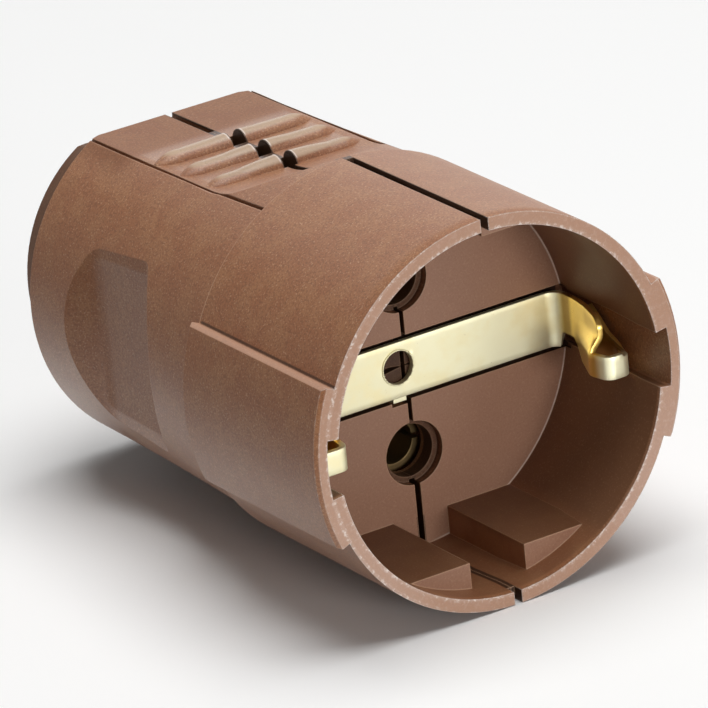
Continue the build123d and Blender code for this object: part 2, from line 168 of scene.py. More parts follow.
plasticLook = {
    "base": toLinear(161, 112, 78),
    "red": toLinear(154, 103, 71),
    # Dark grain, and painted shade at the rear of the thumb flats
    "dark": toLinear(112, 72, 49),
    # Light specks, the ejector ring, and painted highlights along the collar's edge and on rubbed
    # edges
    "speckAndHighlight": toLinear(200, 160, 128),
    # The rim's face, worn and painted lighter as if lit from the front; also the painted
    # highlight on the ledges
    "rim": toLinear(192, 154, 132),
    # Scuffed wear, and painted highlights on edges, along the recess floor's edge and at the
    # inner ends of the rib crests
    "scuffAndHighlight": toLinear(236, 222, 212),
    # Painted highlight along the crests of the thumb ribs
    "crest": toLinear(196, 174, 150),
    # Painted shade: lug tops, the crease above each side pad, the tail, slits, holes and grooves
    "deep": toLinear(46, 28, 18),
    # Painted sheen: the recess floor lighter and greyer than the plastic
    "recess": toLinear(152, 114, 93),
    # Painted shade: the recess walls and the left of its floor darker than the plastic
    "wall": toLinear(120, 82, 58),
    "grainSize": 0.24 * mm, "grainContrast": (0.58, 0.36), "grainDepth": 0.012 * mm,
    "speckSize": 0.2 * mm, "speckContrast": (0.58, 0.74),
    "cloudSize": 3.2 * mm, "cloudContrast": (0.4, 0.6),
    "scuffSize": 0.55 * mm, "scuffContrast": (0.5, 0.62),
    "streakSize": 0.5 * mm, "streakStretch": (1.0, 0.06, 1.0),
    "edgeRadius": 0.22 * mm,
    "roughness": 0.5, "scoopRoughness": 0.34, "tailRoughness": 0.4,
    "specular": 0.24, "coatIor": 1.6, "coatRoughness": 0.36,
    "scoopCoat": 0.1, "floorCoat": 0.32, "topCoat": 0.36,
    "faceMouth": (-0.7, -0.95), "faceRim": (-0.6, -0.9),
    "faceUp": (0.8, 0.95), "faceLedge": (0.72, 0.86),
    "padCorner": (0.434, 0.452, 0.004),  # z over x at the corner above a side pad
    "ejector": (10.0 * mm, 1.0 * mm, 2.05 * mm),
    "earthHole": (-1.05 * mm, 0.3 * mm, 2.2 * mm),
    "pinHole": (9.5 * mm, 3.9 * mm),
}

plasticMasks = {
    "outside": [("reach", 20.3, 20.6)],
    "inside": [("y", 0.2, 0.6), ("y", 17.8, 17.4)],
    "aboveLugs": [("upright", -17.5, -15.5)],
    "behindMouth": [("y", 0.5, 1.0)],
    "leftSide": [("sideways", 2.0, -14.0)],
    "floorEdge": [("y", 16.0, 17.0), ("sideways", 0.0, 4.0), ("reach", 19.56, 19.7)],
    "crest": [("z", 17.45, 17.75), ("y", 35.6, 36.4), ("y", 50.4, 49.6), ("x", 9.6, 9.3)],
    "crestEnd": [("x", 1.15, 0.95)],
    "collarEdge": [("y", 24.87, 25.03), ("y", 25.23, 25.07)],
    "collarSide": [("z", 17.0, 9.0)],
    "padLine": [("y", 25.0, 24.6), ("reach", 20.65, 20.75), ("reach", 21.2, 21.1)],
    "ledge": [("reach", 20.9, 21.1), ("z", 12.0, 11.0), ("y", 25.2, 25.0)],
    "tail": [("y", 60.1, 60.5), ("reach", 11.0, 14.0)],
    "rearTop": [("y", 48.5, 53.0), ("z", 14.5, 16.5)],
    "rightWall": [("sideways", 19.9, 20.1)],
    "cavity": [("y", 17.6, 17.9)],
    "groove": [("y", 17.34, 17.4), ("y", 20.6, 20.4), ("z", 3.9, 3.7), ("x", 20.0, 19.8)],
    "slitWalls": [("x", 0.5, 0.46), ("z", 16.4, 16.6)],
    "windows": [("x", 0.93, 0.87), ("z", 15.0, 15.5), ("y", 35.85, 35.95), ("y", 48.65, 48.55)],
    "floorSlit": [("x", 0.5, 0.46), ("y", 17.45, 17.55), ("y", 19.65, 19.55)],
    "pinHoles": [("y", 17.5, 18.4), ("y", 20.0, 19.8)],
    "rim": [("y", 0.12, 0.04)],
    "nearMouth": [("y", 0.9, 0.3)],
    "innerEdge": [("reach", 20.0, 19.5)],
    "outerEdge": [("reach", 20.45, 20.65), ("reach", 21.1, 20.9), ("sideways", -6.0, -14.0)],
    "scoop": [("y", 35.8, 37.4), ("y", 51.8, 50.2), ("reach", 19.15, 18.95), ("x", 17.45, 17.15)],
    "lowerSide": [("upright", 7.0, -12.0), ("x", 8.0, 15.0)],
    "top": [("upright", 13.0, 18.5), ("y", 0.5, 2.0)],
}

# How strongly each of these marks takes on its tone, in the order in which they are laid on; many
# are painted light and shade, as noted
plasticMarks = {
    # Painted sheen on the recess floor
    "floor": (0.85, "recess"),
    # Painted shade on the recess walls above the lugs
    "walls": (0.9, "wall"),
    # Painted shade on the lug tops, which the collar keeps from the top light
    "lying": (0.3, "deep"),
    # Painted shade on the left of the recess floor
    "dim": (0.3, "wall"),
    # Painted highlight along the edge of the recess floor
    "border": (0.55, "scuffAndHighlight"),
    "grain": (0.55, "dark"),
    "specks": (0.5, "speckAndHighlight"),
    # Painted highlight along the rib crests, lighter still at their inner ends
    "crest": (0.7, "crest"),
    "crestEnds": (0.7, "scuffAndHighlight"),
    # Painted highlight along the collar's step
    "collarEdge": (1.0, "speckAndHighlight"),
    # Painted shade in the crease above each side pad
    "padLine": (0.8, "deep"),
    # Painted highlight on the upward face of the ledge above each side pad
    "ledge": (0.6, "rim"),
    # Painted shade on the tail behind the rear edge
    "tail": (0.7, "deep"),
    # Painted shade towards the rear of the thumb flats
    "rearTop": (0.45, "dark"),
    "ejector": (0.45, "speckAndHighlight"),
    # Painted shade in slits, holes, grooves and pin holes
    "hollow": (0.88, "deep"),
    # The rim's face: wear and painted light
    "rim": (1.0, "rim"),
    # Wear and painted highlights on edges near the mouth
    "wearAndHighlight": (1.0, "scuffAndHighlight"),
    # Rubbed edges elsewhere, with painted highlights, more inside the recess
    "rubbedAndHighlight": (1.0, "speckAndHighlight"),
}


def makePlastic(name, look, maskTable, markTable):
    finish = Finish(name, look["edgeRadius"])
    grain = finish.noise(look["grainSize"], 3.0, 0.6)
    specks = finish.noise(look["speckSize"], 1.0)
    cloud = finish.noise(look["cloudSize"], 2.0)
    streaks = finish.noise(look["streakSize"], 3.0, 0.6, look["streakStretch"])
    scuffs = finish.noise(look["scuffSize"], 4.0, 0.7).ramp(*look["scuffContrast"])
    x, y, z = abs(finish.x), finish.y, abs(finish.z)
    reach = distance(x, z)
    axes = {"x": x, "y": y, "z": z, "reach": reach, "sideways": finish.x, "upright": finish.z}

    def mask(key):
        steps = [axes[axis].ramp(low * mm, high * mm) for axis, low, high in maskTable[key]]
        whole = steps[0]
        for step in steps[1:]:
            whole = whole * step
        return whole

    # The recess: its floor faces the mouth, its lugs lie flat, the rest is wall
    outside = mask("outside")
    inside = mask("inside") * (1 - outside)
    facing = finish.faceY.ramp(*look["faceMouth"])
    floor = inside * facing
    textured = 1 - inside * 0.7

    # Painted highlights along the rib crests and the collar's edge, painted shade in the crease
    # above each side pad, and the ring of an ejector on the wall of the right notch
    crest = mask("crest")
    collarEdge = mask("collarEdge") * outside * (0.15 + 0.35 * mask("collarSide"))
    padLine = (z / x).between(*look["padCorner"]) * mask("padLine")
    ejectorY, ejectorZ, ejectorRadius = look["ejector"]
    ring = distance(y - ejectorY, finish.z - ejectorZ)
    ring = ring.between(ejectorRadius - 0.1 * mm, ejectorRadius, 0.06 * mm)
    ejector = ring * mask("rightWall") * (1 - outside)

    # Slits, holes and grooves that hardly any light gets into
    holeX, holeZ, holeRadius = look["earthHole"]
    fromHole = distance(finish.x - holeX, finish.z - holeZ)
    cavity = fromHole.ramp(holeRadius, holeRadius * 0.9) * mask("cavity")
    pinZ, pinRadius = look["pinHole"]
    fromPin = distance(x, z - pinZ)
    pinHoles = fromPin.ramp(pinRadius + 0.05 * mm, pinRadius) * mask("pinHoles") * 0.9
    floorSlit = mask("floorSlit") * (1 - outside)
    hollow = strongest(
        cavity, mask("groove"), mask("slitWalls"), mask("windows"), floorSlit, pinHoles)

    # Wear and painted highlights on edges, strongest on the rim round the mouth
    rim = mask("rim") * finish.faceY.ramp(*look["faceRim"])
    nearMouth = mask("nearMouth")
    wearAndHighlight = finish.edge * nearMouth * (0.4 + 0.6 * scuffs) + rim * scuffs * 0.08
    wearAndHighlight = wearAndHighlight + rim * mask("innerEdge") * (0.12 + scuffs * 0.7)
    wearAndHighlight = wearAndHighlight + rim * mask("outerEdge") * (0.1 + scuffs * 0.6)

    tail, rearTop = mask("tail"), mask("rearTop")
    marks = {
        "floor": floor,
        "walls": inside * (1 - facing) * mask("aboveLugs"),
        "lying": inside * finish.faceZ.ramp(*look["faceUp"]) * mask("behindMouth"),
        "dim": floor * mask("leftSide"),
        "border": floor * mask("floorEdge"),
        "grain": grain.ramp(*look["grainContrast"]) * textured,
        "specks": specks.ramp(*look["speckContrast"]) * textured,
        "crest": crest,
        "crestEnds": crest * mask("crestEnd"),
        "collarEdge": collarEdge,
        "padLine": padLine,
        "ledge": finish.faceZ.ramp(*look["faceLedge"]) * mask("ledge"),
        "tail": tail,
        "rearTop": rearTop,
        "ejector": ejector,
        "hollow": hollow,
        "rim": rim * (0.55 + 0.35 * cloud),
        "wearAndHighlight": wearAndHighlight,
        "rubbedAndHighlight": finish.edge * (1 - nearMouth) * (0.25 + inside * 0.35),
    }
    colour = cloud.ramp(*look["cloudContrast"]).blend(look["base"], look["red"])
    for key, (strength, tone) in markTable.items():
        colour = (marks[key] * strength).blend(colour, look[tone])
    finish.drive("Base Color", colour)

    scoop = mask("scoop")
    smooth = scoop + inside * 0.6 + crest * 0.5
    rough = look["roughness"] + (look["scoopRoughness"] - look["roughness"]) * smooth
    finish.drive("Roughness", rough + grain * 0.1 - 0.05 + tail * look["tailRoughness"])
    lowerSide = mask("lowerSide") * (1 - inside) * (1 - scoop * 0.85) * (1 - tail * 0.9)
    top = mask("top") * (1 - inside) * (1 - rearTop) * (1 - crest)
    coat = lowerSide + scoop * look["scoopCoat"] + floor * look["floorCoat"]
    finish.drive("Coat Weight", coat + top * look["topCoat"])
    height = (grain + specks * 0.5) * textured + streaks * inside + ejector * 5
    finish.bump(height, look["grainDepth"])
    finish.shader.inputs["Coat IOR"].default_value = look["coatIor"]
    finish.shader.inputs["Coat Roughness"].default_value = look["coatRoughness"]
    finish.shader.inputs["Specular IOR Level"].default_value = look["specular"]
    return finish.material


# Brass of the earth clips and terminals, and the plated steel of the fasteners

brassLook = {
    # Painted light: the strip goes from the darker base on the left to the bright tone on the
    # right
    "base": (0.8, 0.755, 0.52, 1.0),
    "bright": (1.0, 0.97, 0.69, 1.0),
    "tarnish": (0.86, 0.74, 0.38, 1.0),
    # Real marks, and painted shade past the bends and on the outer strands
    "markAndShade": (0.32, 0.2, 0.06, 1.0),
    # Painted reflection of the brown housing: deeper gold on the clip arms
    "arm": (0.84, 0.56, 0.12, 1.0),
    "brightEnds": (-10.0 * mm, 14.0 * mm),
    "armEnds": (6.6 * mm, 16.0 * mm, 0.6 * mm),
    # Painted shade just past each bend
    "shadeEnds": (14.6 * mm, 16.2 * mm, 0.4 * mm),
    # Painted shade on the outer strand of each clip
    "strand": (19.1 * mm, 19.6 * mm, 0.05 * mm),
    "strandEnds": (6.4 * mm, 14.0 * mm, 0.4 * mm),
    "tarnishStrength": 0.4, "armStrength": 0.92, "shadeStrength": 0.9,
    "strandStrength": 0.85, "markStrength": 0.35,
    "cloudSize": 2.6 * mm, "cloudContrast": (0.42, 0.75),
    "markSize": 0.5 * mm, "markContrast": (0.68, 0.76),
    "rollSize": 0.14 * mm, "rollStretch": (0.08, 0.6, 1.0),
    "rollDepth": 0.006 * mm, "rollStart": (16.6 * mm, 15.8 * mm),
    "roughness": 0.5, "armRoughness": 0.3,
    "metallic": 0.86,
    "edgeRadius": 0.12 * mm,
}

# Painted shade: the contact sleeves deep in the pin holes are coloured nearly black
sleeveLook = {
    **brassLook,
    "base": (0.24, 0.16, 0.07, 1.0),
    "bright": (0.24, 0.16, 0.07, 1.0),
    "tarnish": (0.12, 0.08, 0.04, 1.0),
    "roughness": 0.4, "armRoughness": 0.4,
}

# The steel has no arm, shade or strand: their places lie off the object
steelLook = {
    **brassLook,
    "base": (0.62, 0.62, 0.60, 1.0),
    "bright": (0.62, 0.62, 0.60, 1.0),
    "tarnish": (0.42, 0.42, 0.40, 1.0),
    "markAndShade": (0.2, 0.2, 0.19, 1.0),
    "arm": (0.62, 0.62, 0.60, 1.0),
    "armEnds": (-9.0 * mm, -8.0 * mm, 0.6 * mm),
    "shadeEnds": (-9.0 * mm, -8.0 * mm, 0.4 * mm),
    "strand": (30.0 * mm, 31.0 * mm, 0.05 * mm),
    "rollSize": 0.3 * mm, "rollDepth": 0.008 * mm,
    "roughness": 0.3, "armRoughness": 0.3,
    "metallic": 1.0,
    "edgeRadius": 0.1 * mm,
}

springLook = {**steelLook, "base": (0.5, 0.5, 0.5, 1.0), "roughness": 0.26}


def makeMetal(name, look):
    finish = Finish(name, look["edgeRadius"])
    rolled = finish.noise(look["rollSize"], 4.0, 0.6, look["rollStretch"])
    cloud = finish.noise(look["cloudSize"], 3.0, 0.55)
    marks = finish.noise(look["markSize"], 4.0, 0.65).ramp(*look["markContrast"])
    tarnish = cloud.ramp(*look["cloudContrast"]) * look["tarnishStrength"]
    arm = finish.y.between(*look["armEnds"])
    shade = finish.y.between(*look["shadeEnds"]) * look["shadeStrength"]
    strand = abs(finish.x).between(*look["strand"]) * finish.y.between(*look["strandEnds"])
    # Painted light: brighter towards +x
    colour = finish.x.ramp(*look["brightEnds"]).blend(look["base"], look["bright"])
    colour = tarnish.blend(colour, look["tarnish"])
    # Painted reflection: the arms' deeper gold
    colour = (arm * look["armStrength"]).blend(colour, look["arm"])
    # Painted shade past the bends and on the outer strands
    colour = strongest(shade, strand * look["strandStrength"]).blend(colour, look["markAndShade"])
    colour = (marks * look["markStrength"]).blend(colour, look["markAndShade"])
    finish.drive("Base Color", colour)
    sharper = look["armRoughness"] - look["roughness"]
    rough = look["roughness"] - 0.1 + rolled * 0.12 + cloud * 0.08 + arm * sharper
    finish.drive("Roughness", rough)
    finish.bump(rolled * (1 - finish.y.ramp(*look["rollStart"])), look["rollDepth"], 0.6)
    finish.shader.inputs["Metallic"].default_value = look["metallic"]
    return finish.material


slotMaterials = {
    "brown_plastic": makePlastic("brownPlastic", plasticLook, plasticMasks, plasticMarks),
    "contact_brass": makeMetal("contactBrass", brassLook),
    "sleeve_brass": makeMetal("sleeveBrass", sleeveLook),
    "zinc_steel": makeMetal("zincSteel", steelLook),
    "spring_steel": makeMetal("springSteel", springLook),
}
slotOf = {}
for part in frame["record"]["subparts"]:
    slotOf[part["node"]] = part["material_slot"]
    node = frame["nodes"][part["node"]]
    node.data.materials.clear()
    node.data.materials.append(slotMaterials[part["material_slot"]])
print("materials made")


def newObject(name, mesh):
    made = bpy.data.objects.new(name, mesh)
    bpy.context.scene.collection.objects.link(made)
    return made


def place(piece, *nodeNames):
    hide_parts(*nodeNames)
    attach(piece, "root")


def plainMesh(made):
    # The evaluated result as the object's own mesh, its modifiers gone
    evaluated = made.evaluated_get(bpy.context.evaluated_depsgraph_get())
    mesh = bpy.data.meshes.new_from_object(evaluated)
    made.modifiers.clear()
    made.data = mesh


# Moulded and folded pieces, with their bends and blends shaded as the smooth things they are

smoothPieces = {  # the piece's name, and the angle in degrees from which an edge is sharp
    "housing_left": ("leftHalf", 20),
    "housing_right": ("rightHalf", 20),
    "cord_clamp_bar": ("clampBar", 30),
    "line_contact": ("lineSleeve", 30),
    "neutral_contact": ("neutralSleeve", 30),
}


def smoothCopy(nodeName, pieceName, sharpAngle):
    mesh = frame["nodes"][nodeName].data.copy()
    mesh.name = pieceName
    if "custom_normal" in mesh.attributes:
        mesh.attributes.remove(mesh.attributes["custom_normal"])
    build = bmesh.new()
    build.from_mesh(mesh)
    bmesh.ops.remove_doubles(build, verts=build.verts, dist=0.002 * mm)
    bmesh.ops.recalc_face_normals(build, faces=build.faces)
    for face in build.faces:
        face.smooth = True
    for edge in build.edges:
        edge.smooth = edge.calc_face_angle(pi) < radians(sharpAngle)
    build.to_mesh(mesh)
    build.free()
    piece = newObject(pieceName, mesh)
    weight = piece.modifiers.new("weight", "WEIGHTED_NORMAL")
    weight.keep_sharp = True
    plainMesh(piece)
    place(piece, nodeName)


for nodeName, (pieceName, sharpAngle) in smoothPieces.items():
    smoothCopy(nodeName, pieceName, sharpAngle)
print("smooth pieces made")


# Earth clips: one strip folded along its path, its arms wide and the tongues at their tips
# narrow. All in mm; a table runs along y, from the mouth inwards.

clipLook = {
    "thickness": 0.6, "rounding": 0.08, "half": 3.0, "middle": 17.47, "tongueTop": -0.5,
    "armX": 19.0, "waist": 13.8, "bulgeAt": 7.7, "front": 5.3, "returnStart": 8.2,
    "returnX": 19.85, "tip": 12.7, "flapEnd": 7.25, "flapRoot": 14.5, "foldWidth": 1.6,
    "lean": 0.1, "bulgeLean": 0.45, "frontInset": 0.9,
    "bendRadii": (1.7, 5.0, 1.6, 0.9, 0.9, 4.0),
    "bulge": {1: 3.6, -1: 4.85},  # how far the right and the left arm stand into the recess
    "armTopX": [(7.25, 17.4), (8.3, 17.6), (11.4, 18.5), (13.4, 18.85), (15.0, 19.02)],
    "armTop": [(7.25, 1.9), (8.3, 3.0)],
    "armLow": [(11.4, -3.0), (14.2, -1.3), (16.4, -1.4), (16.7, -3.0)],
    "strandTop": [(5.3, -0.8), (6.4, -0.9), (7.6, -0.6), (9.6, 0.1), (11.1, 1.3), (12.6, 2.4)],
    "hole": (-1.05, 0.3, 1.8),
    "tab": (-1.0, 1.6, 42.6), "tabDrop": 0.25, "tabHeight": 0.7,
}


def read(table, at):
    # The value between the table's entries, held level beyond its ends
    if at <= table[0][0]:
        return table[0][1]
    for (x0, v0), (x1, v1) in zip(table, table[1:]):
        if at <= x1:
            return v0 + (v1 - v0) * (at - x0) / (x1 - x0)
    return table[-1][1]


def bentPath(corners, step=0.5, arcStep=9):
    # Points along straight runs and arcs, each with the number of the corner before it. The
    # step is in mm on a run and in degrees on an arc.
    spots = [(Vector(corners[0][0]), 0)]
    for number in range(1, len(corners)):
        corner, radius = Vector(corners[number][0]), corners[number][1]
        start = spots[-1][0]
        arc = []
        stop = corner
        if radius:
            a = (start - corner).normalized()
            b = (Vector(corners[number + 1][0]) - corner).normalized()
            half = a.angle(b) / 2
            stop = corner + a * radius * cos(half) / sin(half)
            end = corner + b * radius * cos(half) / sin(half)
            centre = corner + (a + b).normalized() * radius / sin(half)
            sweep = pi - 2 * half
            count = max(3, round(sweep / radians(arcStep)))
            for i in range(1, count + 1):
                t = i / count
                arm = (stop - centre) * sin((1 - t) * sweep) + (end - centre) * sin(t * sweep)
                arc.append((centre + arm / sin(sweep), number))
        run = (stop - start).length
        count = max(1, round(run / step))
        spots += [(start.lerp(stop, i / count), number - 1) for i in range(1, count + 1)]
        spots += arc
    return spots


def clipRows(look, side):
    inner = look["returnX"] - look["bulge"][side]
    places = [
        (0, look["middle"]),
        (look["armX"], look["middle"]),
        (look["armX"] - look["lean"], look["waist"]),
        (inner, look["bulgeAt"]),
        (inner + look["bulgeLean"], look["front"]),
        (look["returnX"] - look["frontInset"], look["front"]),
        (look["returnX"] - look["lean"], look["returnStart"]),
        (look["returnX"], look["tip"]),
    ]
    corners = list(zip(places, (0, *look["bendRadii"], 0)))
    rows = []
    for spot, number in bentPath(corners):
        x, y = spot
        onArm = number <= 3 and y >= look["flapEnd"]
        low = read(look["armLow"], y) if 1 <= number <= 2 else -look["half"]
        middle = look["tongueTop"] if number < 5 else read(look["strandTop"], y)
        heights = [low + (middle - low) * i / 4 for i in range(5)]
        if onArm:
            top = read(look["armTop"], y)
            heights += [middle + (top - middle) * i / 6 for i in range(1, 7)]
        row = []
        for z in heights:
            rise = (z - look["tongueTop"]) / look["foldWidth"]
            lift = min(max(rise, 0), 1) if onArm else 0
            lift = lift * lift * (3 - 2 * lift)
            topX = read(look["armTopX"], y) if y < look["flapRoot"] and number >= 1 else x
            row.append(((x + (topX - x) * lift) * side, y, z))
        rows.append(row)
    return rows


def makeClips(look):
    build = bmesh.new()
    for side in (1, -1):
        rows = [[build.verts.new(Vector(spot) * mm) for spot in row]
                for row in clipRows(look, side)]
        for first, second in zip(rows, rows[1:]):
            for i in range(min(len(first), len(second)) - 1):
                quad = [first[i], second[i], second[i + 1], first[i + 1]]
                build.faces.new(quad if side > 0 else quad[::-1])
    bmesh.ops.remove_doubles(build, verts=build.verts, dist=0.01 * mm)
    mesh = bpy.data.meshes.new("earthClips")
    build.to_mesh(mesh)
    build.free()
    piece = newObject("earthClips", mesh)
    thick = piece.modifiers.new("thick", "SOLIDIFY")
    thick.thickness, thick.offset = look["thickness"] * mm, 0
    holeX, holeZ, holeRadius = look["hole"]
    spot = Matrix.Translation(Vector((holeX, look["middle"], holeZ)) * mm)
    cutter = bmesh.new()
    bmesh.ops.create_cone(
        cutter, cap_ends=True, segments=48, radius1=holeRadius * mm, radius2=holeRadius * mm,
        depth=4 * mm, matrix=spot @ Matrix.Rotation(pi / 2, 4, "X"))
    drillMesh = bpy.data.meshes.new("drill")
    cutter.to_mesh(drillMesh)
    cutter.free()
    drill = newObject("drill", drillMesh)
    hole = piece.modifiers.new("hole", "BOOLEAN")
    hole.object, hole.solver = drill, "EXACT"
    plainMesh(piece)
    bpy.data.objects.remove(drill)
    build = bmesh.new()
    build.from_mesh(piece.data)
    tabX, tabWidth, tabEnd = look["tab"]
    tabZ = -look["half"] - look["tabDrop"]
    spot = Matrix.Translation(Vector((tabX, (look["middle"] + tabEnd) / 2, tabZ)) * mm)
    size = Vector((tabWidth, tabEnd - look["middle"], look["tabHeight"])) * mm
    bmesh.ops.create_cube(build, size=1, matrix=spot @ Matrix.Diagonal(size).to_4x4())
    bmesh.ops.recalc_face_normals(build, faces=build.faces)
    for face in build.faces:
        face.smooth = True
    build.to_mesh(piece.data)
    build.free()
    rounding = piece.modifiers.new("rounding", "BEVEL")
    rounding.width, rounding.segments = look["rounding"] * mm, 2
    rounding.limit_method, rounding.angle_limit = "ANGLE", radians(50)
    weight = piece.modifiers.new("weight", "WEIGHTED_NORMAL")
    weight.keep_sharp = True
    plainMesh(piece)
    piece.data.materials.append(slotMaterials["contact_brass"])
    place(piece, "earth_bracket")


makeClips(clipLook)
print("earth clips made")


# Geometry trees: screws, nuts, springs and ribs, each set on the points of its own mesh

def newTree(name, sizes):
    tree = bpy.data.node_groups.new(name, "GeometryNodeTree")
    face = tree.interface
    face.new_socket("Geometry", in_out="INPUT", socket_type="NodeSocketGeometry")
    for label, value in sizes.items():
        socket = face.new_socket(label, in_out="INPUT", socket_type="NodeSocketFloat")
        socket.default_value = value
    face.new_socket("Finish", in_out="INPUT", socket_type="NodeSocketMaterial")
    face.new_socket("Geometry", in_out="OUTPUT", socket_type="NodeSocketGeometry")
    entry = tree.nodes.new("NodeGroupInput")
    given = {socket.name: Wire(tree, socket) for socket in entry.outputs if socket.name}
    return tree, given


def finishTree(tree, given, shape):
    wire = Wire(tree)
    sockets = {"Points": given["Geometry"], "Instance": shape}
    spread = wire.node("GeometryNodeInstanceOnPoints", {}, sockets)
    real = wire.node("GeometryNodeRealizeInstances", {}, {"Geometry": spread})
    final = wire.node("GeometryNodeSetMaterial", {}, {
        "Geometry": real, "Material": given["Finish"]})
    leave = tree.nodes.new("NodeGroupOutput")
    tree.links.new(final.socket, leave.inputs[0])
    return tree


def joined(wire, *shapes):
    join = wire.tree.nodes.new("GeometryNodeJoinGeometry")
    for shape in shapes:
        wire.tree.links.new(shape.socket, join.inputs[0])
    return Wire(wire.tree, join.outputs[0])


def vector(wire, x=0.0, y=0.0, z=0.0):
    return wire.node("ShaderNodeCombineXYZ", {}, {0: x, 1: y, 2: z})


def moved(wire, shape, shift, turn=(0.0, 0.0, 0.0)):
    return wire.node("GeometryNodeTransform", {}, {
        "Geometry": shape, "Translation": shift, "Rotation": turn})


def rod(wire, radius, length, sides=32, rows=1):
    return wire.node("GeometryNodeMeshCylinder", {}, {
        "Vertices": sides, "Side Segments": rows, "Radius": radius, "Depth": length})


def cut(wire, shape, tool):
    return wire.node("GeometryNodeMeshBoolean", {"operation": "DIFFERENCE"}, {
        0: shape, 1: tool})


# Shares of a fastener's own sizes, alike for all of its kind
domeShare = {"start": 0.55, "fall": 0.2}
threadShare = {"core": 0.84, "length": 0.62, "crest": 0.14, "end": 0.3}
nutShare = {"barrel": 1.13, "start": 0.6, "fall": 0.1}


def coordinates(wire):
    spot = wire.node("GeometryNodeInputPosition")
    return [wire.node("ShaderNodeSeparateXYZ", {}, {"Vector": spot}, out=i) for i in range(3)]


def screwTree(sizes):
    # The seat of the head is at the origin, the head towards +x and the thread towards -x
    tree, given = newTree("slottedScrew", sizes)
    wire = Wire(tree)
    headRadius, headHeight = given["Head Radius"], given["Head Height"]
    shankRadius, shankLength = given["Shank Radius"], given["Shank Length"]
    head = rod(wire, headRadius, headHeight, 48, 8)
    x, y, z = coordinates(wire)
    climb = (z / headHeight + 0.5).ramp(domeShare["start"], 1.0)
    shrink = 1 - climb * climb * domeShare["fall"]
    rounded = vector(wire, x * shrink, y * shrink, z)
    head = wire.node("GeometryNodeSetPosition", {}, {"Geometry": head, "Position": rounded})
    slotSize = vector(wire, headRadius * 3, given["Slot Width"], given["Slot Depth"] * 2)
    slot = wire.node("GeometryNodeMeshCube", {}, {"Size": slotSize})
    slot = moved(wire, slot, vector(wire, z=headHeight / 2))
    head = cut(wire, head, slot)
    head = moved(wire, head, vector(wire, z=headHeight / 2))
    core = shankRadius * threadShare["core"]
    shank = moved(wire, rod(wire, core, shankLength, 24), vector(wire, z=shankLength * -0.5))
    threadLength = shankLength * threadShare["length"]
    helix = wire.node("GeometryNodeCurveSpiral", {}, {
        "Resolution": 18, "Rotations": threadLength / given["Thread Pitch"],
        "Start Radius": core, "End Radius": core, "Height": threadLength})
    crest = wire.node("GeometryNodeCurvePrimitiveCircle", {"mode": "RADIUS"}, {
        "Resolution": 4, "Radius": shankRadius * threadShare["crest"]})
    thread = wire.node("GeometryNodeCurveToMesh", {}, {
        "Curve": helix, "Profile Curve": crest, "Fill Caps": True})
    threadEnd = shankLength * -1 + shankRadius * threadShare["end"]
    thread = moved(wire, thread, vector(wire, z=threadEnd))
    whole = moved(wire, joined(wire, head, shank, thread), (0, 0, 0), (0, pi / 2, 0))
    return finishTree(tree, given, whole)


def nutTree(sizes):
    # The face that takes the thread is at the origin, the body towards -x
    tree, given = newTree("hexagonNut", sizes)
    wire = Wire(tree)
    half, deep = given["Flats"] * 0.5, given["Thickness"]
    prism = rod(wire, half * (2 / 3 ** 0.5), deep, 6)  # from the flats to the corners
    prism = moved(wire, prism, (0, 0, 0), (0, 0, pi / 2))
    barrel = rod(wire, half * nutShare["barrel"], deep, 48, 8)
    x, y, z = coordinates(wire)
    climb = (abs(z) / deep * 2).ramp(nutShare["start"], 1.0)
    shrink = 1 - climb * nutShare["fall"]
    rounded = vector(wire, x * shrink, y * shrink, z)
    barrel = wire.node("GeometryNodeSetPosition", {}, {"Geometry": barrel, "Position": rounded})
    hexagon = wire.node("GeometryNodeMeshBoolean", {"operation": "INTERSECT"}, {1: prism})
    tree.links.new(barrel.socket, hexagon.socket.node.inputs[1])
    body = cut(wire, hexagon, rod(wire, given["Bore Radius"], deep * 2, 32))
    body = moved(wire, body, vector(wire, z=deep * -0.5))
    return finishTree(tree, given, moved(wire, body, (0, 0, 0), (0, pi / 2, 0)))


def springTree(sizes):
    # A flat open ring round the y axis, its gap towards +x
    tree, given = newTree("openRing", sizes)
    wire = Wire(tree)
    arc = wire.node("GeometryNodeCurveArc", {"mode": "RADIUS"}, {
        "Resolution": 48, "Radius": given["Radius"] + given["Thickness"] * 0.5,
        "Start Angle": given["Gap"] * 0.5, "Sweep Angle": 2 * pi - given["Gap"]})
    band = wire.node("GeometryNodeCurvePrimitiveQuadrilateral", {"mode": "RECTANGLE"}, {
        "Width": given["Thickness"], "Height": given["Width"]})
    band = wire.node("GeometryNodeFilletCurve", {"mode": "POLY"}, {
        "Curve": band, "Count": 3, "Radius": given["Thickness"] * 0.3})
    ring = wire.node("GeometryNodeCurveToMesh", {}, {
        "Curve": arc, "Profile Curve": band, "Fill Caps": True})
    return finishTree(tree, given, moved(wire, ring, (0, 0, 0), (pi / 2, 0, 0)))


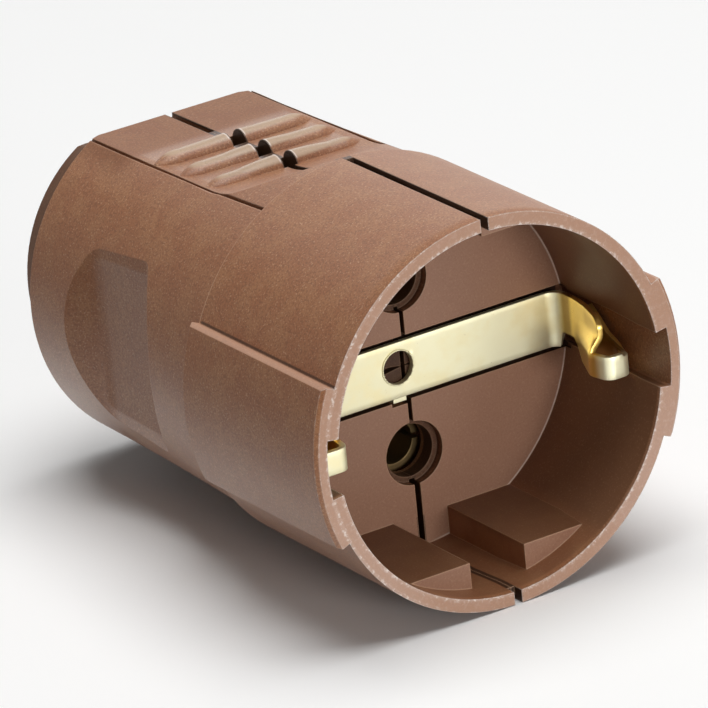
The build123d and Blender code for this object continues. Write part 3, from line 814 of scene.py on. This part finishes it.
def ribTree(sizes):
    # A bar along x with a blunt outer end, sunk into the thumb flat
    tree, given = newTree("thumbRib", sizes)
    wire = Wire(tree)
    start, end = given["Inner End"], given["Outer End"]
    line = wire.node("GeometryNodeCurvePrimitiveLine", {"mode": "POINTS"}, {
        "Start": vector(wire, start), "End": vector(wire, end)})
    line = wire.node("GeometryNodeResampleCurve", {"mode": "COUNT"}, {
        "Curve": line, "Count": 40})
    along = wire.node("GeometryNodeSplineParameter")
    blunt = wire.maths("SQRT", (1 - along).ramp(-0.1, 0.26))
    swell = blunt * (1 + (1 - along) * 0.1)
    line = wire.node("GeometryNodeSetCurveRadius", {}, {"Curve": line, "Radius": swell})
    circle = wire.node("GeometryNodeCurvePrimitiveCircle", {"mode": "RADIUS"}, {
        "Resolution": 32, "Radius": given["Radius"]})
    bar = wire.node("GeometryNodeCurveToMesh", {}, {
        "Curve": line, "Profile Curve": circle, "Fill Caps": True, "Scale": swell})
    return finishTree(tree, given, bar)


def burrTree(sizes):
    # Small crumbs of metal raised round a punched hole, on the plane of the strip
    tree, given = newTree("punchedBurr", sizes)
    wire = Wire(tree)
    circle = wire.node("GeometryNodeCurvePrimitiveCircle", {"mode": "RADIUS"}, {
        "Resolution": 64, "Radius": given["Radius"]})
    lip = wire.node("GeometryNodeCurvePrimitiveCircle", {"mode": "RADIUS"}, {
        "Resolution": 10, "Radius": given["Lip"]})
    ring = wire.node("GeometryNodeCurveToMesh", {}, {"Curve": circle, "Profile Curve": lip})
    spots = wire.node("GeometryNodeCurveToPoints", {"mode": "COUNT"}, {
        "Curve": circle, "Count": 54})
    crumb = wire.node("GeometryNodeMeshIcoSphere", {}, {"Radius": given["Crumb"]})
    spread = wire.node("FunctionNodeRandomValue", {"data_type": "FLOAT_VECTOR"}, {
        0: (0.3, 0.3, 0.3), 1: (1.5, 1.1, 1.5), 8: 4})
    crumbs = wire.node("GeometryNodeInstanceOnPoints", {}, {
        "Points": spots, "Instance": crumb, "Scale": spread})
    whole = moved(wire, joined(wire, ring, crumbs), (0, 0, 0), (pi / 2, 0, 0))
    return finishTree(tree, given, whole)


def fromTree(pieceName, tree, places, sizes, slotName):
    mesh = bpy.data.meshes.new(pieceName)
    mesh.from_pydata([Vector(spot) * mm for spot in places], [], [])
    piece = newObject(pieceName, mesh)
    modifier = piece.modifiers.new("shape", "NODES")
    modifier.node_group = tree
    values = {**sizes, "Finish": slotMaterials[slotName]}
    for item in tree.interface.items_tree:
        if item.in_out == "INPUT" and item.name in values:
            modifier[item.identifier] = values[item.name]
    plainMesh(piece)
    build = bmesh.new()
    build.from_mesh(piece.data)
    for face in build.faces:
        face.smooth = True
    for edge in build.edges:
        edge.smooth = edge.calc_face_angle(pi) < radians(30)
    build.to_mesh(piece.data)
    build.free()
    return piece


fastenerSizes = {  # the springs' gap is an angle in radians
    "screw": {
        "Head Radius": 2.75 * mm, "Head Height": 2.0 * mm, "Shank Radius": 1.5 * mm,
        "Shank Length": 23.6 * mm, "Thread Pitch": 0.6 * mm, "Slot Width": 0.8 * mm,
        "Slot Depth": 0.9 * mm,
    },
    "nut": {"Flats": 5.5 * mm, "Thickness": 2.3 * mm, "Bore Radius": 1.5 * mm},
    "spring": {"Radius": 3.25 * mm, "Thickness": 0.6 * mm, "Width": 3.0 * mm, "Gap": 0.72},
}

# Kind, places in mm, sizes that differ from the kind's own, and the nodes they stand for
fasteners = {
    "frontScrew": ("screw", [(16.0, 30.0, 0)], {}, ["housing_screw_front"]),
    "rearScrews": ("screw", [(11.6, 47.0, 11.5), (11.6, 47.0, -11.5)], {
        "Shank Length": 19.2 * mm}, ["housing_screw_upper", "housing_screw_lower"]),
    "housingNuts": ("nut", [(-4.2, 30.0, 0), (-4.2, 47.0, 11.5), (-4.2, 47.0, -11.5)], {}, [
        "housing_nut_front", "housing_nut_upper", "housing_nut_lower"]),
    "sleeveSprings": ("spring", [(0, 26.9, 9.5), (0, 26.9, -9.5)], {}, [
        "line_contact_spring", "neutral_contact_spring"]),
    "clampScrews": ("screw", [(6.0, 53.2, 7.6), (6.0, 53.2, -7.6)], {
        "Head Radius": 2.4 * mm, "Head Height": 1.5 * mm, "Shank Radius": 1.2 * mm,
        "Shank Length": 12.4 * mm, "Thread Pitch": 0.5 * mm,
    }, ["clamp_screw_upper", "clamp_screw_lower"]),
}

ribSizes = {"Inner End": 0.85 * mm, "Outer End": 9.6 * mm, "Radius": 1.45 * mm}
ribSpots = [(37.4, 17.7), (42.3, 17.76), (47.2, 17.76)]  # y and the height of the crest
burrSizes = {"Radius": 1.88 * mm, "Lip": 0.1 * mm, "Crumb": 0.13 * mm}
burrSpot = (-1.05, 17.15, 0.3)

trees = {kind: make(fastenerSizes[kind]) for kind, make in (
    ("screw", screwTree), ("nut", nutTree), ("spring", springTree))}
for pieceName, (kind, places, changes, nodeNames) in fasteners.items():
    piece = fromTree(pieceName, trees[kind], places, changes, slotOf[nodeNames[0]])
    place(piece, *nodeNames)

# The ribs of the right upper quarter, then mirrored to the left and to the underside
ribPlaces = [(0, y, top - ribSizes["Radius"] / mm) for y, top in ribSpots]
ribs = fromTree("thumbRibs", ribTree(ribSizes), ribPlaces, {}, "brown_plastic")
build = bmesh.new()
build.from_mesh(ribs.data)
for flip in (Matrix.Scale(-1, 4, (1, 0, 0)), Matrix.Scale(-1, 4, (0, 0, 1))):
    made = bmesh.ops.duplicate(build, geom=build.verts[:] + build.edges[:] + build.faces[:])
    copied = [item for item in made["geom"] if isinstance(item, bmesh.types.BMVert)]
    bmesh.ops.transform(build, matrix=flip, verts=copied)
bmesh.ops.recalc_face_normals(build, faces=build.faces)
build.to_mesh(ribs.data)
build.free()
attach(ribs, "root")

burr = fromTree("earthBurr", burrTree(burrSizes), [burrSpot], {}, "contact_brass")
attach(burr, "root")
print("trees made")


# Floor, camera and light

floorLook = {
    "height": -20.95 * mm, "size": 3.0,
    "seen": (0.965, 0.965, 0.96, 1.0),
    "bounce": (0.5, 0.5, 0.5, 1.0),  # what the object gets from it, so that it stays plain
    "roughness": 0.9,
}


def lookedAt(wire):
    # 1 where a camera, a mirroring or a see-through ray arrives
    rays = wire.tree.nodes.new("ShaderNodeLightPath")
    return strongest(*(Wire(wire.tree, rays.outputs[name]) for name in (
        "Is Camera Ray", "Is Glossy Ray", "Is Transmission Ray")))


def makeFloor(look):
    half, low = look["size"] / 2, look["height"]
    corners = [(-half, -half, low), (half, -half, low), (half, half, low), (-half, half, low)]
    mesh = bpy.data.meshes.new("floor")
    mesh.from_pydata(corners, [], [(0, 1, 2, 3)])
    floor = newObject("floor", mesh)
    paper = bpy.data.materials.new("floorPaper")
    paper.use_nodes = True
    shader = paper.node_tree.nodes["Principled BSDF"]
    wire = Wire(paper.node_tree)
    colour = lookedAt(wire).blend(look["bounce"], look["seen"])
    paper.node_tree.links.new(colour.socket, shader.inputs["Base Color"])
    shader.inputs["Roughness"].default_value = look["roughness"]
    mesh.materials.append(paper)


makeFloor(floorLook)

cameraLook = {
    "azimuth": -31.230, "elevation": 21.745, "roll": 5.625,
    "place": (-0.38728, -0.61147, 0.29653),
    "focalPixels": 7814.705, "pictureWidth": 708, "sensorWidth": 36,
}


def makeCamera(look):
    data = bpy.data.cameras.new("camera")
    data.sensor_width = look["sensorWidth"]
    data.lens = look["focalPixels"] / look["pictureWidth"] * look["sensorWidth"]
    data.clip_start, data.clip_end = 0.05, 20
    camera = newObject("camera", data)
    a, e, r = (radians(look[key]) for key in ("azimuth", "elevation", "roll"))
    back = Vector((sin(a) * cos(e), -cos(a) * cos(e), sin(e)))
    right = Vector((cos(a), sin(a), 0))
    up = back.cross(right)
    turn = Matrix(((cos(r), -sin(r), 0), (sin(r), cos(r), 0), (0, 0, 1)))
    turn = turn @ Matrix((right, up, back))
    camera.matrix_world = Matrix.Translation(look["place"]) @ turn.transposed().to_4x4()
    bpy.context.scene.camera = camera


makeCamera(cameraLook)

lamps = {
    "top": {"place": (0.08, 0.0, 0.9), "size": 0.75, "power": 8.6},
    "front": {"place": (0.04, -1.0, 0.06), "size": 0.35, "power": 6.4},
    "right": {"place": (0.7, -0.9, 0.1), "size": 0.3, "power": 0.8},
    "back": {"place": (0.58, 0.95, 0.45), "size": 0.5, "power": 0.35},
}
lampAim = (0, 0.03, 0)
worldFill = 0.08


def makeLamp(name, look):
    data = bpy.data.lights.new(name, "AREA")
    data.shape = "SQUARE"
    data.size = look["size"]
    data.energy = look["power"]
    lamp = newObject(name, data)
    lamp.location = look["place"]
    aim = Vector(lampAim) - lamp.location
    lamp.rotation_mode = "QUATERNION"
    lamp.rotation_quaternion = aim.to_track_quat("-Z", "Y")


for name, look in lamps.items():
    makeLamp(name, look)


def makeWorld(fill):
    # White where it is looked at or mirrored, and a weaker light on everything
    world = bpy.data.worlds.new("studio")
    bpy.context.scene.world = world
    world.use_nodes = True
    tree = world.node_tree
    wire = Wire(tree)
    amount = lookedAt(wire) * (1 - fill) + fill
    background = tree.nodes["Background"]
    background.inputs["Color"].default_value = (1, 1, 1, 1)
    tree.links.new(amount.socket, background.inputs["Strength"])


makeWorld(worldFill)
bpy.context.scene.view_settings.view_transform = "Standard"
print("floor, camera and light made")
